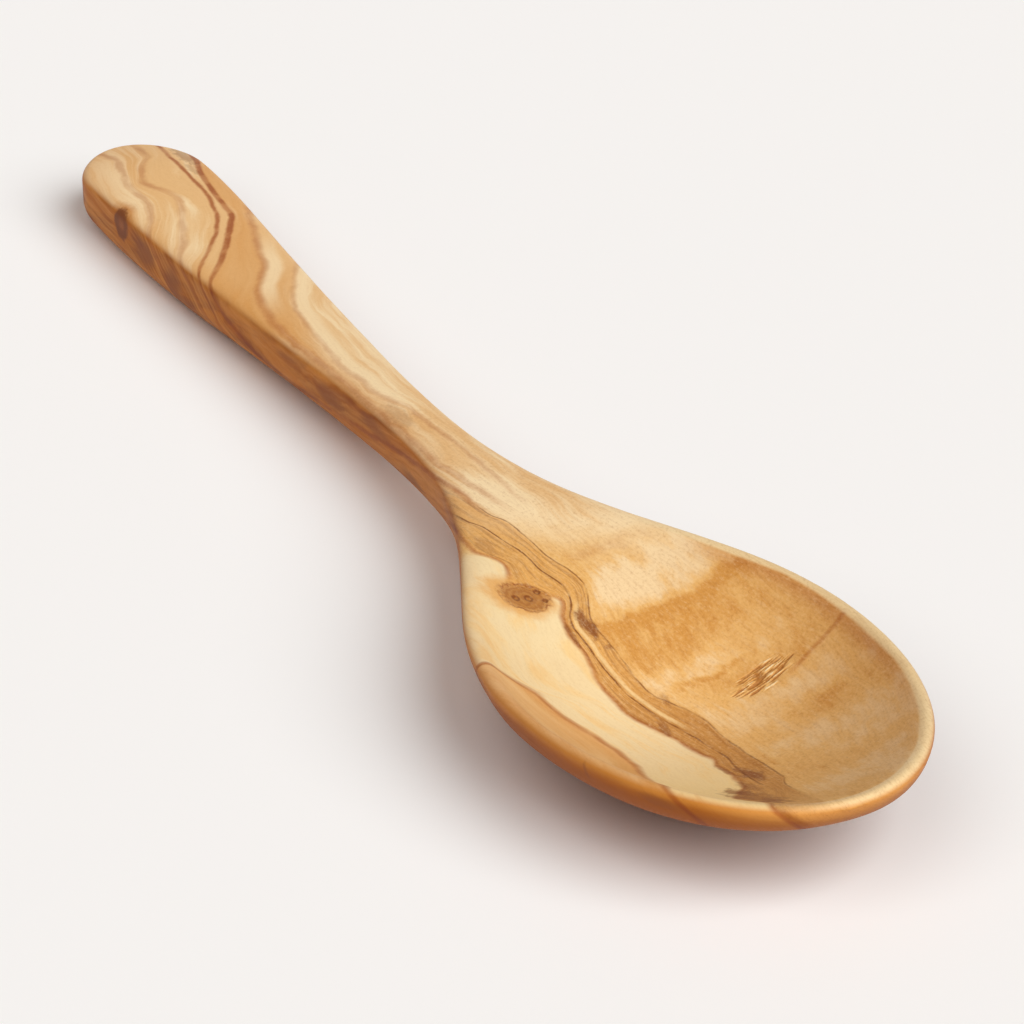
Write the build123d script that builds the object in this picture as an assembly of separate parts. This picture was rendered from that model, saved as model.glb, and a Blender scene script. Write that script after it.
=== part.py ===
from build123d import *
import math
import os

# A kitchen spoon carved from one billet of olive wood.
# X runs from the handle's end to the bowl's tip, Y runs across and Z is up.
# The origin lies on the table, under the middle of the spoon's length.

# Handle and neck
handle_width = 21.2
handle_thickness = 9.6
handle_belly = 1.6
handle_crown = 1.4
end_cap_length = 13.0
end_top_drop = 2.0
end_under_lift = 2.4
neck_width = 10.0
neck_thickness = 9.2
neck_belly = 2.1
neck_crown = 1.0
neck_clearance = 3.3
neck_place = 118.0

# Bowl
spoon_length = 259.5
bowl_width = 56.0
bowl_depth = 13.0
bowl_crown = 0.3
bowl_front_length = 46.5
floor_thickness = 4.0
tip_rise = 2.2
rim_land = 1.9
rim_side = 3.2
gouge_entry_height = 3.0
gouge_approach_height = 2.6
rest_setback = 8.0

# Softened edges, and the flats worn where the wood meets the table
top_edge_radius = 1.3
under_edge_radius = 2.4
hollow_edge_radius = 0.8
rest_flat_depth = 0.4

# How far sections and cutters run past the wood
side_overrun = 0.35
end_overrun = 2.0
top_overrun = 6.0

handle_half = handle_width / 2
neck_half = neck_width / 2
bowl_half = bowl_width / 2
bowl_place = spoon_length - bowl_front_length
rest_place = bowl_place - rest_setback
neck_height = neck_clearance + neck_thickness
rim_height = floor_thickness + bowl_depth - rest_flat_depth
tip_height = rim_height + tip_rise
tip_foot = tip_height - rim_side
bowl_belly = rim_height - rim_side
hollow_half = bowl_half - rim_land
gouge_radius = (hollow_half**2 + bowl_depth**2) / (2 * bowl_depth)

# Along the handle: shares of the run, then of the change in half-width, top and underside
handle_shares = [
    (0.34, 0.27, 0.16, 0.05),
    (0.73, 0.75, 0.55, 0.66),
]

# Along the flare: shares of the run, of the change in half-width, top and belly, and of the clearance
flare_shares = [
    (0.34, 0.13, 0.38, 0.13, 1.45),
    (0.56, 0.46, 0.65, 0.36, 1.45),
    (0.77, 0.835, 0.86, 0.74, 0.56),
]
front_shares = [0.30, 0.60, 0.82]
tip_reach_share = 0.30

# The gouge comes down onto the neck, then the hollow deepens at the same places as the flare
approach_share = 0.5
hollow_shares = [-0.04, 0.18, 0.64]


def between(low, high, share):
    return low + (high - low) * share


def arc_radius(half_chord, sagitta):
    return (half_chord**2 + sagitta**2) / (2 * sagitta)


def arc_sagitta(half_chord, radius):
    return radius - math.sqrt(radius**2 - half_chord**2)


def station(place, half, top, crown, under, belly):
    """One slice across the spoon. The belly is how far the underside bulges below both sides."""
    under_radius = arc_radius(half, belly)
    return {
        "place": place,
        "half": half,
        "top": top,
        "under": under,
        "crown": crown,
        "under_radius": under_radius,
    }


def handle_stations():
    """From the handle's end to the neck."""
    rest = -rest_flat_depth
    end_top = handle_thickness - end_top_drop
    end_under = rest + end_under_lift
    stations = [
        station(-end_overrun, handle_half, end_top, handle_crown, end_under, handle_belly),
        station(end_cap_length, handle_half, handle_thickness, handle_crown, rest, handle_belly),
    ]
    for place, width, top, under in handle_shares:
        stations.append(station(
            between(end_cap_length, neck_place, place),
            between(handle_half, neck_half, width),
            between(handle_thickness, neck_height, top),
            between(handle_crown, neck_crown, place),
            between(rest, neck_clearance, under),
            between(handle_belly, neck_belly, place),
        ))
    neck = station(neck_place, neck_half, neck_height, neck_crown, neck_clearance, neck_belly)
    return stations + [neck]


def flare_stations():
    """From the neck to the widest part of the bowl."""
    stations = []
    for place, width, top, belly, under in flare_shares:
        stations.append(station(
            between(neck_place, bowl_place, place),
            between(neck_half, bowl_half, width),
            between(neck_height, rim_height, top),
            between(neck_crown, bowl_crown, place),
            neck_clearance * under,
            between(neck_belly, bowl_belly, belly),
        ))
    return stations


def front_underside(place):
    """The underside climbs from the rest to the foot of the tip along a parabola."""
    share = (place - rest_place) / (spoon_length - rest_place)
    return between(-rest_flat_depth, tip_foot, share**2)


def front_stations():
    """From the widest part of the bowl to just past its tip, all with one belly arc."""
    places = [(share, bowl_place + bowl_front_length * share) for share in [0] + front_shares]
    stations = []
    for share, place in places:
        half = bowl_half * math.sqrt(1 - share**2)
        top = between(rim_height, tip_height, share)
        stations.append(station(place, half, top, bowl_crown, front_underside(place), bowl_belly))
    tip = dict(stations[-1])
    tip["place"] = spoon_length + end_overrun
    tip["half"] = bowl_half * tip_reach_share
    tip["top"] = tip_height
    tip["under"] = front_underside(tip["place"])
    stations.append(tip)
    for side in stations:
        side["under_radius"] = stations[0]["under_radius"]
    return stations


def plan_outline():
    """Half of the outline seen from above, mirrored about the spoon's long axis."""
    sides = handle_stations()[1:] + flare_stations() + front_stations()[:1]
    points = [(side["place"], side["half"]) for side in sides]
    end_cap = EllipticalCenterArc((end_cap_length, 0), end_cap_length, handle_half, start_angle=90)
    long_side = Spline(*points, tangents=[(1, 0), (1, 0)])
    front = EllipticalCenterArc((bowl_place, 0), bowl_front_length, bowl_half)
    half_outline = Curve() + [end_cap, long_side, front]
    return make_face(half_outline + mirror(half_outline, about=Plane.XZ))


def slice_plane(place):
    return Plane(origin=(place, 0, 0), x_dir=(0, 1, 0), z_dir=(1, 0, 0))


def body_section(side):
    """Rounded underside, upright sides and crowned top."""
    reach = side["half"] + side_overrun
    peak = side["top"] + side["crown"]
    low = side["under"] + arc_sagitta(reach, side["under_radius"])
    high = peak - arc_sagitta(reach, arc_radius(side["half"], side["crown"]))
    bottom_arc = ThreePointArc((-reach, low), (0, side["under"]), (reach, low))
    right_side = Line((reach, low), (reach, high))
    top_arc = ThreePointArc((reach, high), (0, peak), (-reach, high))
    left_side = Line((-reach, high), (-reach, low))
    outline = Curve() + [bottom_arc, right_side, top_arc, left_side]
    return slice_plane(side["place"]) * make_face(outline)


def carved_block():
    """The top and underside of the whole spoon, before it is cut to its outline."""
    stations = handle_stations() + flare_stations() + front_stations()
    return loft([body_section(side) for side in stations])


def hollow_floors():
    """Places along the gouge's path and the height of the hollow's floor at each."""
    flare = flare_stations()
    approach_place = between(neck_place, flare[0]["place"], approach_share)
    floors = [
        (neck_place, neck_height + gouge_entry_height),
        (approach_place, neck_height + gouge_approach_height),
    ]
    for side, depth in zip(flare, hollow_shares):
        floors.append((side["place"], side["top"] - bowl_depth * depth))
    for share in [0] + front_shares:
        place = bowl_place + (bowl_front_length - rim_land) * share
        half = hollow_half * math.sqrt(1 - share**2)
        top = between(rim_height, tip_height, share)
        floors.append((place, top - arc_sagitta(half, gouge_radius)))
    floors.append((spoon_length + end_overrun, tip_height + rim_land))
    return floors


def gouge_section(place, floor):
    """The gouge's round edge below, open above."""
    shoulder = floor + arc_sagitta(bowl_half, gouge_radius)
    clear = shoulder + top_overrun
    left = (-bowl_half, shoulder)
    right = (bowl_half, shoulder)
    cut = ThreePointArc(left, (0, floor), right)
    open_top = Polyline(right, (bowl_half, clear), (-bowl_half, clear), left)
    return slice_plane(place) * make_face(Curve() + [cut, open_top])


def hollow_cutter():
    return loft([gouge_section(place, floor) for place, floor in hollow_floors()])


def long_edges(body, top):
    """The loop where the upright sides meet the crowned top, or the carved underside."""
    carved = body.faces().sort_by(SortBy.AREA)[-2:].sort_by(Axis.Z)
    surface = carved[-1] if top else carved[0]
    return surface.outer_wire().edges()


def spoon():
    blank = extrude(plan_outline(), amount=tip_height + top_overrun)
    body = blank & carved_block()
    body = fillet(long_edges(body, top=False), under_edge_radius)
    body = fillet(long_edges(body, top=True), top_edge_radius)
    cutter = hollow_cutter()
    hollowed = body - cutter
    hollow_rim = new_edges(body, cutter, combined=hollowed)
    hollowed = fillet(hollow_rim, hollow_edge_radius)
    return Pos(-spoon_length / 2) * hollowed


os.makedirs("parts", exist_ok=True)
export_step(spoon(), "parts/spoon.step")
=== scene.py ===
import math

import bmesh
import bpy
import numpy as np
from mathutils import Matrix, Vector, noise
from mathutils.bvhtree import BVHTree


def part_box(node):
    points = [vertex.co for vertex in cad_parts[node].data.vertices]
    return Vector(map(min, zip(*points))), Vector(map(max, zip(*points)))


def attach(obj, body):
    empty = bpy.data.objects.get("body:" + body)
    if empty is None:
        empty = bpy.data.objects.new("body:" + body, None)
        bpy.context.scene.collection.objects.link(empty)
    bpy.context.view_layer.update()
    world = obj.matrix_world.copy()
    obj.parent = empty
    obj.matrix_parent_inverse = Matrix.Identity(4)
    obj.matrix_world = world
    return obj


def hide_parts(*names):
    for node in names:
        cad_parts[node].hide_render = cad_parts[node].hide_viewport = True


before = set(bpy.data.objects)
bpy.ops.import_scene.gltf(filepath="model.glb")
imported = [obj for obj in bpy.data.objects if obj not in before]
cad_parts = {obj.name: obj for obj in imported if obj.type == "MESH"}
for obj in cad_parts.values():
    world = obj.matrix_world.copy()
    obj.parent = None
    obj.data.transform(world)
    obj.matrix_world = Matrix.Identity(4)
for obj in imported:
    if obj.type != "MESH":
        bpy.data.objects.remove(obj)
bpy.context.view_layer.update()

bl_info = {
    "name": "Olive wood spoon",
    "version": (1, 0, 0),
    "blender": (4, 5, 0),
    "location": "View3D > Sidebar > Spoon",
    "description": "Carves and finishes a one-piece olive wood spoon on its packed solid",
    "category": "Object",
}

MM = 0.001


def srgb(red, green, blue):
    """A colour given as the eye sees it, from 0 to 255, as Blender's linear values."""
    return tuple(
        c / 255 / 12.92 if c / 255 <= 0.04045 else ((c / 255 + 0.055) / 1.055) ** 2.4
        for c in (red, green, blue)
    )


# Settings


def size(name, millimetres, description, least=0.0):
    return bpy.props.FloatProperty(
        name=name, description=description, default=millimetres * MM, min=least * MM,
        unit="LENGTH")


def angle(name, degrees, description):
    return bpy.props.FloatProperty(
        name=name, description=description, default=math.radians(degrees), subtype="ANGLE")


def power(name, value, description):
    return bpy.props.FloatProperty(name=name, description=description, default=value, min=0)


def tint(name, value, description):
    return bpy.props.FloatVectorProperty(
        name=name, description=description, subtype="COLOR", default=value)


def colour(name, red, green, blue, description):
    return tint(name, srgb(red, green, blue), description)


class SpoonShape(bpy.types.PropertyGroup):
    cell: size("Cell", 0.54, "Size of the faces that the spoon is carved from", 0.3)
    end_cap: size("End cap", 13.0, "Length of the handle's rounded end")
    bowl_front: size("Bowl front", 46.5, "Length of the bowl ahead of its widest place")
    gouge_radius: size("Gouge radius", 32.7, "Radius of the hollow across the bowl")
    top_edge: size("Top edge", 1.5, "Radius worn on the edges round the top")
    under_edge: size("Under edge", 2.6, "Radius worn on the edges round the underside")
    melt: size("Melt", 1.0, "Height over which the hollow melts into the top")
    wander: size("Wander", 0.22, "How far the hand-carved faces wander")


class WoodColours(bpy.types.PropertyGroup):
    # Sapwood also paints the highlight on the rim and the light on the torn fibres
    sap: colour("Sapwood", 236, 210, 162, "Pale outer wood in the bowl")
    # Bright sapwood is partly paler wood and partly painted light where the wall towards the tip
    # falls in shade
    sap_bright: colour("Bright sapwood", 253, 222, 156, "Pale wood towards the tip")
    sap_warm: colour("Warm sapwood", 238, 202, 142, "Streaks in the pale wood")
    heart: colour("Heartwood", 228, 178, 108, "Golden wood of the hollow")
    heart_light: colour("Light heartwood", 238, 206, 158, "Light bands in the hollow")
    heart_deep: colour("Deep heartwood", 208, 148, 74, "Deep bands in the hollow")
    band: colour("Band", 220, 160, 84, "Brown band beside the main line")
    # The deep band also paints the shade between the torn fibres
    band_deep: colour("Deep band", 166, 106, 46, "Dark edges of the band")
    line: colour("Line", 118, 62, 26, "Thin dark growth lines")
    # Cream also paints glints on the flecks and sheen on the scraping marks
    cream: colour("Cream", 246, 218, 172, "Light waves in the handle")
    tan: colour("Tan", 230, 184, 126, "Middle waves in the handle")
    # Gold also paints light on the tip's face and highlights along the top edges
    gold: colour("Gold", 212, 146, 72, "Dark waves in the handle")
    # Amber is partly the oiled side grain and partly painted shade on the side faces
    amber: colour("Amber", 176, 99, 14, "Side faces, which drank more oil")
    # Deep amber also paints the shade low on the bowl's sides
    amber_deep: colour("Deep amber", 142, 72, 10, "Dark patches on the side faces")
    band_dark: colour("Dark blotch", 132, 74, 38, "Blotches along the growth lines")
    # Soft marks also paint the shade inside the bowl's right rim
    stain_and_shade: colour("Soft marks", 190, 116, 52, "What the soft dark marks take away")
    knot: colour("Knot", 140, 76, 34, "Knots")


class StageSettings(bpy.types.PropertyGroup):
    floor: colour("Floor", 249, 247, 245, "Colour of the table")
    lamp: power("Lamp", 3.1, "Strength of the key lamp")
    lamp_tint: tint("Lamp tint", (0.925, 0.98, 1.0), "Colour of the key lamp")
    lamp_turn: angle("Lamp turn", 45, "How far right of the camera the key lamp stands")
    lamp_rise: angle("Lamp rise", 42, "Height of the key lamp above the table, as an angle")
    lamp_width: angle("Lamp width", 50, "Width of both lamps as the spoon sees them")
    fill: power("Fill", 1.0, "Strength of the weaker fill lamp")
    fill_turn: angle("Fill turn", 35, "How far left of the camera the fill lamp stands")
    fill_rise: angle("Fill rise", 50, "Height of the fill lamp above the table, as an angle")
    sky: power("Sky", 0.12, "Strength of the light from all round")
    sky_tint: tint("Sky tint", (1.0, 0.58, 0.38), "Colour of the light from all round")
    sheen: power("Sheen", 0.8, "Strength of the pale walls that the wood reflects")


# The photo's view

CAMERA_DISTANCE = 802.4 * MM
CAMERA_PITCH = math.radians(27.694)
CAMERA_TURN = math.radians(65.14)
CAMERA_ROLL = math.radians(-0.853)
CAMERA_AIM = Vector((4.545 * MM, 9.99 * MM, 0))
FOCAL_PIXELS = 5346.0
PHOTO_SIDE = 1024
SENSOR_MM = 36
CLIP_NEAR, CLIP_FAR = 0.05, 20

# How far the table reaches to each side, in metres, and how rough it is
TABLE_REACH = 6
TABLE_ROUGHNESS = 0.7


def level_axes():
    """The level directions to the camera's right and away from it."""
    level = Vector((math.cos(CAMERA_TURN), math.sin(CAMERA_TURN), 0))
    return level, Vector((-math.sin(CAMERA_TURN), math.cos(CAMERA_TURN), 0))


def camera_axes():
    """The camera's right, up and forward directions."""
    level, away = level_axes()
    forward = away * math.cos(CAMERA_PITCH) - Vector((0, 0, math.sin(CAMERA_PITCH)))
    upright = level.cross(forward)
    right = level * math.cos(CAMERA_ROLL) + upright * math.sin(CAMERA_ROLL)
    return right, right.cross(forward), forward


def camera_place():
    return CAMERA_AIM - camera_axes()[2] * CAMERA_DISTANCE


# Carving

# Radius of the underside across the spoon, at places along it, in millimetres
BELLY_PLACES = [-117, -81, -40, -12, 20, 41, 61, 83]
BELLY_RADII = [36, 24, 11.4, 7.0, 10.7, 22.7, 33.1, 36]

# Rise of the top's middle above its sides, at places along the spoon, in millimetres
CROWN_PLACES = [-117, -12, 83, 130]
CROWN_RISES = [1.4, 1.0, 0.3, 0.3]

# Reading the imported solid: step along it, where its hollow and rim are read, the heights in
# millimetres at which its sides are, and how far in from them the rim is
STEP = 0.25 * MM
HOLLOW_START = 24 * MM
HOLLOW_END = 121 * MM
RIM_END = 112 * MM
SIDE_HEIGHTS = [4, 5, 6, 7, 8, 9, 10, 12, 14, 15, 16, 17]
RIM_SETBACK = 1.5 * MM

# The two flats that meet the table: height below which wood counts as flat, how far it bulged
# before it was worn, and radius of the edge round each flat
FLAT_HEIGHT = 0.02 * MM
WORN_BOW = 0.4 * MM
FLAT_EDGE = 0.3 * MM

# Moving the mesh onto the surface: number of steps, the longest one, the reach over which slopes
# are measured, and the smoothing passes after it
SURFACE_STEPS = 7
LONGEST_STEP = 0.6 * MM
SLOPE_REACH = 0.02 * MM
SMOOTHING_PASSES = 3

# Upward part of a direction from which a face counts as the top, and cuts that make it finer
TOP_FACING = 0.3
FINER_CUTS = 3

# The hand's wander: size of its large and small lumps, and height over which it fades at the foot
LARGE_LUMPS = 28 * MM
SMALL_LUMPS = 11 * MM
FOOT_HEIGHT = 2 * MM

# Fibres torn up in the hollow: place along and across, half length and half width, in millimetres
TORN_PATCH = (77.3, 14.2, 2.5, 4.6)

# The knot in the bowl: place and radius, how far it is squeezed across, then place and size of
# the piths inside it
KNOT = (49.7, -9.2, 3.0)
KNOT_SQUEEZE = 0.82
PITHS = [(49.8, -8.6, 0.5), (49.8, -10.6, 0.45), (48.4, -6.7, 0.35), (50.3, -6.3, 0.3)]


def merged(mesh):
    work = bmesh.new()
    work.from_mesh(mesh)
    bmesh.ops.remove_doubles(work, verts=work.verts, dist=1e-6)
    return work


def faired(values, width):
    """Values along the spoon without the solid's flat facets. The ends keep their slope."""
    reach = int(3 * width / STEP)
    kernel = np.exp(-0.5 * (np.arange(-reach, reach + 1) * STEP / width) ** 2)
    padded = np.pad(values, reach, mode="reflect", reflect_type="odd")
    return np.convolve(padded, kernel / kernel.sum(), mode="valid")


def run_on(places, values, first, last):
    """Keeps the values from first to last and runs on straight past both."""
    kept = (places >= first) & (places <= last)
    x, v = places[kept], values[kept]
    lead = int(4 * MM / STEP)
    back = (v[lead] - v[0]) / (x[lead] - x[0])
    ahead = (v[-1] - v[-lead]) / (x[-1] - x[-lead])
    inside = np.interp(places, x, v)
    inside = np.where(places < first, v[0] + (places - x[0]) * back, inside)
    return np.where(places > last, v[-1] + (places - x[-1]) * ahead, inside)


# Read off the solid when the spoon is carved, and used again when the grain is laid
PROFILE = {}


class Profile:
    """The spoon's outline and heights along its length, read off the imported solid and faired."""

    def __init__(self, tree, low, high, shape):
        self.shape, self.low, self.high = shape, low, high
        self.x = x = np.arange(low.x + STEP, high.x, STEP)
        up, down, inward = Vector((0, 0, 1)), Vector((0, 0, -1)), Vector((0, -1, 0))

        def first_hit(origin, direction):
            return tree.ray_cast(Vector(origin), direction)[0]

        below, above, beside = low.z - MM, high.z + MM, high.y + MM
        under = np.array([first_hit((p, 0, below), up).z for p in x])
        middle = np.array([first_hit((p, 0, above), down).z for p in x])
        half = np.zeros(len(x))
        for height in SIDE_HEIGHTS:
            hits = [first_hit((p, beside, height * MM), inward) for p in x]
            half = np.maximum(half, [hit.y if hit else 0 for hit in hits])
        self.crown = np.interp(x, np.array(CROWN_PLACES) * MM, np.array(CROWN_RISES) * MM)
        edge = np.maximum(half - RIM_SETBACK, 0)
        rim = np.array([first_hit((p, y, above), down).z for p, y in zip(x, edge)])
        rim = rim - self.crown * (1 - (edge / np.maximum(half, MM)) ** 2)
        cap_end = low.x + shape.end_cap
        rim = np.where(x < cap_end, middle - self.crown, rim)
        belly = np.interp(x, np.array(BELLY_PLACES) * MM, np.array(BELLY_RADII) * MM)
        self.under = faired(self.unworn(under), 2.5 * MM)
        self.half = faired(run_on(x, half, cap_end, high.x - shape.bowl_front), 1.5 * MM)
        self.slope = np.gradient(self.half, STEP)
        self.rim = faired(run_on(x, rim, low.x + 2 * MM, RIM_END), 3 * MM)
        self.floor = faired(run_on(x, middle, HOLLOW_START, HOLLOW_END), 3 * MM)
        self.belly = faired(belly, 5 * MM)
        self.handle_half = float(np.interp(cap_end, x, self.half))
        self.bowl_half = float(half.max())

    def unworn(self, under):
        """The underside as it was before the two places that meet the table were worn level."""
        filled = under.copy()
        level = np.flatnonzero(under < FLAT_HEIGHT)
        for flat in np.split(level, np.flatnonzero(np.diff(level) > 1) + 1):
            share = np.linspace(-1, 1, len(flat))
            filled[flat] = -WORN_BOW * (1 - share**2)
        return filled

    def at(self, curve, x):
        return np.interp(x, self.x, curve)

    def side_gap(self, x, y):
        """Distance outside the outline seen from above, below zero inside it."""
        shape = self.shape
        gap = (np.abs(y) - self.at(self.half, x)) / np.sqrt(1 + self.at(self.slope, x) ** 2)
        cap = self.low.x + shape.end_cap
        front = self.high.x - shape.bowl_front
        gap = np.where(x < cap, oval_gap(x - cap, y, shape.end_cap, self.handle_half), gap)
        return np.where(x > front, oval_gap(x - front, y, shape.bowl_front, self.bowl_half), gap)

    def top(self, x, y):
        """The crowned top, with the hollow melted into it."""
        wide = np.maximum(self.at(self.half, x), 4 * MM)
        crowned = self.at(self.rim, x) + self.at(self.crown, x) * (1 - (y / wide) ** 2)
        hollow = self.at(self.floor, x) + bow(y, self.shape.gouge_radius)
        return melted(crowned, hollow, self.shape.melt)

    def bottom(self, x, y):
        return self.at(self.under, x) + bow(y, self.at(self.belly, x))

    def outside(self, x, y, z):
        """About how far a point lies outside the carved spoon, below zero inside it."""
        shape = self.shape
        over = z_gap(self.top, x, y, z)
        beneath = -z_gap(self.bottom, x, y, z)
        gap = rounded(self.side_gap(x, y), over, shape.top_edge)
        gap = rounded(gap, beneath, shape.under_edge)
        return rounded(gap, -z, FLAT_EDGE)


def oval_gap(x, y, length, width):
    reach = np.hypot(x / length, y / width)
    steep = np.hypot(x / length**2, y / width**2)
    return reach * (reach - 1) / np.maximum(steep, 1e-6)


def bow(y, radius):
    """Height of an arc above its lowest point."""
    return radius - np.sqrt(np.maximum(radius**2 - y**2, (0.05 * radius) ** 2))


def melted(one, other, height):
    overlap = np.maximum(height - np.abs(one - other), 0) / height
    return np.minimum(one, other) - overlap**2 * height / 4


def rounded(one, other, radius):
    """Both limits kept, with the edge between them rounded."""
    corner = np.hypot(np.maximum(one + radius, 0), np.maximum(other + radius, 0))
    return np.minimum(np.maximum(one, other), -radius) + corner


def z_gap(surface, x, y, z):
    nudge = 0.05 * MM
    here = surface(x, y)
    steep_x = (surface(x + nudge, y) - here) / nudge
    steep_y = (surface(x, y + nudge) - here) / nudge
    return (z - here) / np.sqrt(1 + steep_x**2 + steep_y**2)


def drawn_onto(profile, points):
    """Points near the spoon's surface, moved onto it, and the directions out of the wood."""
    for _ in range(SURFACE_STEPS):
        gap = profile.outside(*points.T)
        slope = np.empty_like(points)
        for axis in range(3):
            ahead, behind = points.copy(), points.copy()
            ahead[:, axis] += SLOPE_REACH
            behind[:, axis] -= SLOPE_REACH
            rise = profile.outside(*ahead.T) - profile.outside(*behind.T)
            slope[:, axis] = rise / (2 * SLOPE_REACH)
        steep = np.maximum((slope**2).sum(axis=1), 0.05)
        step = -(gap / steep)[:, None] * slope
        points = points + np.clip(step, -LONGEST_STEP, LONGEST_STEP)
    return points, slope / np.linalg.norm(slope, axis=1)[:, None]


def noisy(points, size, seed):
    """Smooth noise from -1 to 1 at each point, with lumps of that size."""
    shift = Vector((seed * 7.31, seed * 3.17, seed * 5.71))
    scale = 1 / size
    return np.array([noise.noise(Vector(p) * scale + shift) for p in points])


def evened(mesh, cell):
    """The mesh made again from even faces."""
    rough = bpy.data.objects.new("rough_spoon", mesh)
    bpy.context.scene.collection.objects.link(rough)
    remesh = rough.modifiers.new("even", "REMESH")
    remesh.mode = "VOXEL"
    remesh.voxel_size = cell
    remesh.adaptivity = 0
    graph = bpy.context.evaluated_depsgraph_get()
    even = bpy.data.meshes.new_from_object(rough.evaluated_get(graph))
    bpy.data.objects.remove(rough)
    return even


def keep_field(mesh, name, values):
    kind = "FLOAT_VECTOR" if values.ndim == 2 else "FLOAT"
    field = mesh.attributes.new(name, kind, "POINT")
    field.data.foreach_set("vector" if values.ndim == 2 else "value", values.ravel())


def vertex_array(mesh):
    flat = np.empty(len(mesh.vertices) * 3)
    mesh.vertices.foreach_get("co", flat)
    return flat.reshape(-1, 3)


def finer(mesh, spots):
    """The faces of the top round each spot, cut four times finer."""
    work = bmesh.new()
    work.from_mesh(mesh)
    for along, across, reach in spots:
        edges = set()
        for face in work.faces:
            aside = face.calc_center_median().xy - Vector((along, across))
            if face.normal.z > TOP_FACING and aside.length < reach:
                edges.update(face.edges)
        bmesh.ops.subdivide_edges(
            work, edges=list(edges), cuts=FINER_CUTS, use_grid_fill=True)
    bmesh.ops.triangulate(work, faces=[face for face in work.faces if len(face.verts) > 4])
    work.to_mesh(mesh)
    work.free()


def relaxed(mesh, points):
    """The mesh moved to the points, then smoothed so that no faces stay folded together."""
    mesh.vertices.foreach_set("co", points.ravel())
    work = bmesh.new()
    work.from_mesh(mesh)
    for _ in range(SMOOTHING_PASSES):
        bmesh.ops.smooth_vert(
            work, verts=work.verts, factor=0.5, use_axis_x=True, use_axis_y=True, use_axis_z=True)
    work.to_mesh(mesh)
    work.free()


def torn_relief(x, y):
    """Fibres torn up across the hollow: how far they stand out, in millimetres."""
    along, across, half_length, half_width = TORN_PATCH
    reach = math.hypot((x - along) / half_length, (y - across) / half_width)
    if reach > 1.4:
        return 0.0
    ragged = reach + 0.35 * noise.noise(Vector((x * 1.4, y * 0.5, 3)))
    inside = min(max((1.05 - ragged) / 0.3, 0), 1)
    strand = noise.noise(Vector((x * 2.6, y * 0.3 + 0.2 * x, 0)))
    hair = noise.noise(Vector((x * 4.6, y * 0.6, 9)))
    return inside * (0.5 * (0.2 - abs(strand)) + 0.22 * hair - 0.065)


def knot_relief(x, y):
    """A branch cut across: a ring dried open, and small pits at its piths."""
    along, across, radius = KNOT
    reach = math.hypot(x - along, (y - across) * KNOT_SQUEEZE)
    if reach > radius * 1.6:
        return 0.0
    reach += 0.7 * noise.noise(Vector((x * 0.9, y * 0.9, 5)))
    crack = math.exp(-(((reach - radius) / 0.22) ** 2)) * noise.noise(Vector((x * 2, y * 2, 1)))
    lift = -0.1 * min(max((radius - reach) / 0.5, 0), 1) - 0.22 * max(crack, 0)
    for place, offset, size in PITHS:
        lift -= 0.25 * math.exp(-(math.hypot(x - place, y - offset) / size) ** 2)
    return lift


class SPOON_OT_carve(bpy.types.Operator):
    """Carve the spoon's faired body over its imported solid"""

    bl_idname = "spoon.carve"
    bl_label = "Carve the spoon"

    def execute(self, context):
        shape = context.scene.spoon_shape
        solid = merged(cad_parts["spoon"].data)
        tree = BVHTree.FromBMesh(solid)
        low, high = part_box("spoon")
        profile = PROFILE["spoon"] = Profile(tree, Vector(low), Vector(high), shape)
        blank = bpy.data.meshes.new("blank")
        solid.to_mesh(blank)
        solid.free()
        mesh = evened(blank, shape.cell)
        bpy.data.meshes.remove(blank)
        mesh.name = "carved_spoon"
        spots = ((*TORN_PATCH[:2], TORN_PATCH[3] * 1.2), (*KNOT[:2], KNOT[2] * 1.5))
        finer(mesh, [tuple(size * MM for size in spot) for spot in spots])
        relaxed(mesh, drawn_onto(profile, vertex_array(mesh))[0])
        points, outward = drawn_onto(profile, vertex_array(mesh))
        lumps = noisy(points, LARGE_LUMPS, 1) + 0.5 * noisy(points, SMALL_LUMPS, 2)
        worn = shape.wander * (0.5 + 0.35 * lumps)
        raised = np.clip(points[:, 2] / FOOT_HEIGHT, 0, 1)
        points = points - outward * (np.clip(worn, 0, None) * raised)[:, None]
        relief = np.zeros(len(points))
        for index in np.flatnonzero(outward[:, 2] > TOP_FACING):
            place = points[index] / MM
            relief[index] = torn_relief(place[0], place[1]) + knot_relief(place[0], place[1])
        points = points + outward * (relief * MM)[:, None]
        points[:, 2] = np.maximum(points[:, 2], 0)
        mesh.vertices.foreach_set("co", points.ravel())
        keep_field(mesh, "relief", relief)
        mesh.update()
        mesh.shade_smooth()
        spoon = bpy.data.objects.new("carved_spoon", mesh)
        context.scene.collection.objects.link(spoon)
        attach(spoon, "root")
        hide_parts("spoon")
        return {"FINISHED"}


# Grain

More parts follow.
